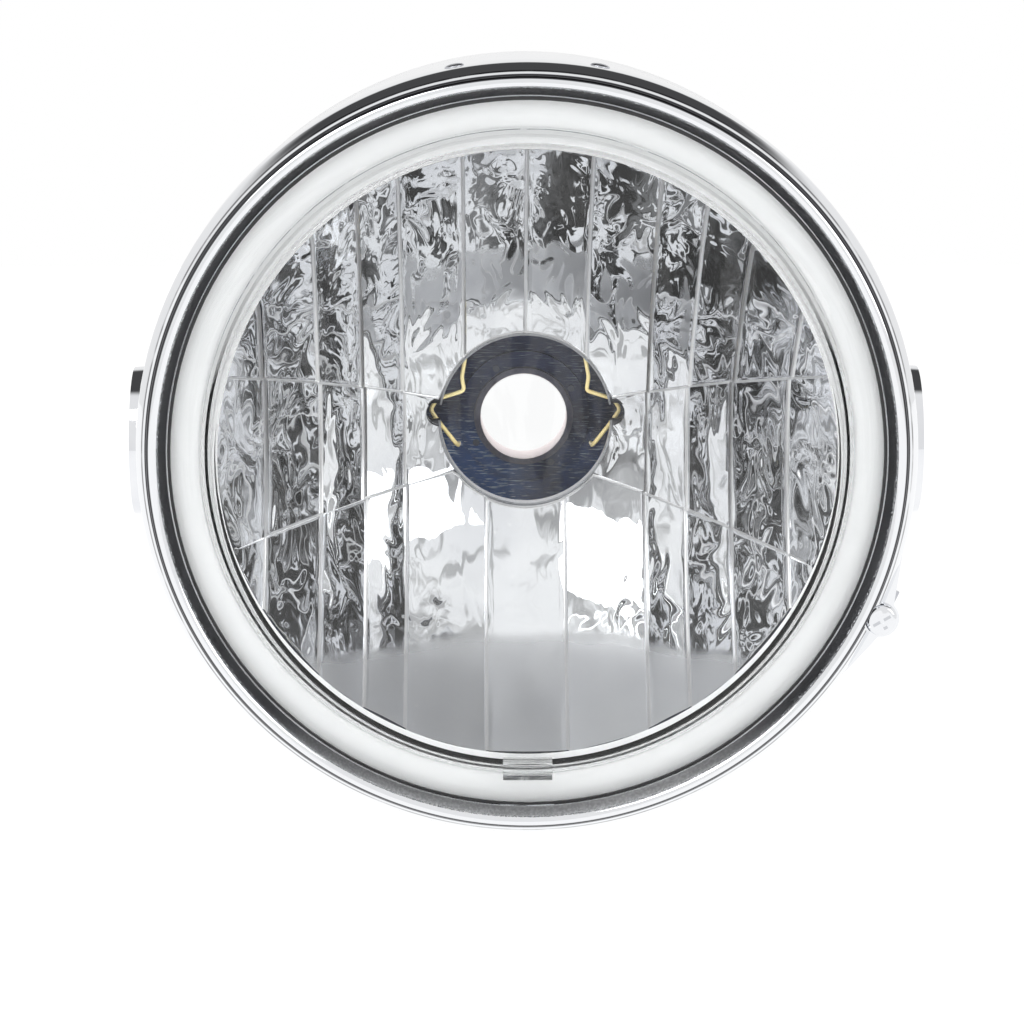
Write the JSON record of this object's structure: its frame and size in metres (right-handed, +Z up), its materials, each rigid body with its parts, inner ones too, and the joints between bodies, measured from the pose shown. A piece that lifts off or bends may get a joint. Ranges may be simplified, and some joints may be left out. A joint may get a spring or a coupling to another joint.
{
  "type": "motorcycle headlight",
  "caption": "Round chrome motorcycle headlight with a clear glass lens, facetted reflector, open bulb seat with its spring clip, side fork mounts and a rear wiring hole.",
  "frame": {"origin": "centre of the bulb seat, on the lamp's axis", "axes": "+X to the right as seen from the front, +Y from the lens to the rear, +Z up"},
  "size_m": [0.195, 0.1265, 0.1894],
  "materials": {
    "chrome_shell": "bright chrome plate",
    "chrome_rim": "bright chrome plate",
    "lens_glass": "clear moulded glass",
    "seal_rubber": "black rubber",
    "reflector_mirror": "aluminised facets",
    "plated_steel": "bright zinc plate",
    "spring_wire": "yellow-passivated wire",
    "spring_steel": "spring steel",
    "chrome_screw": "chrome plate",
    "ferrule_steel": "plain steel, welded"
  },
  "bodies": {
    "lamp": {"shell": "chrome_shell", "rim": "chrome_rim", "lens": "lens_glass", "lens_seal": "seal_rubber", "reflector": "reflector_mirror", "bulb_holder": "plated_steel", "holder_rivets": "plated_steel", "retaining_clips": "spring_steel", "rim_screw": "chrome_screw", "rim_screw_nut": "plated_steel", "screw_bracket": "plated_steel", "bracket_rivets": "plated_steel", "rim_hook": "plated_steel", "hook_rivets": "plated_steel", "side_plate_left": "plated_steel", "side_plate_right": "plated_steel", "side_nut_left": "plated_steel", "side_nut_right": "plated_steel", "wiring_ferrule": "ferrule_steel"},
    "spring_clip": {"bulb_spring": "spring_wire"}
  },
  "joints": [
    {"name": "bulb_spring_hinge", "type": "hinge", "parent": "lamp", "child": "spring_clip", "pos_m": [0, 0.0052, 0.0275], "axis": [1, 0, 0], "range_deg": [0, 100]}
  ]
}
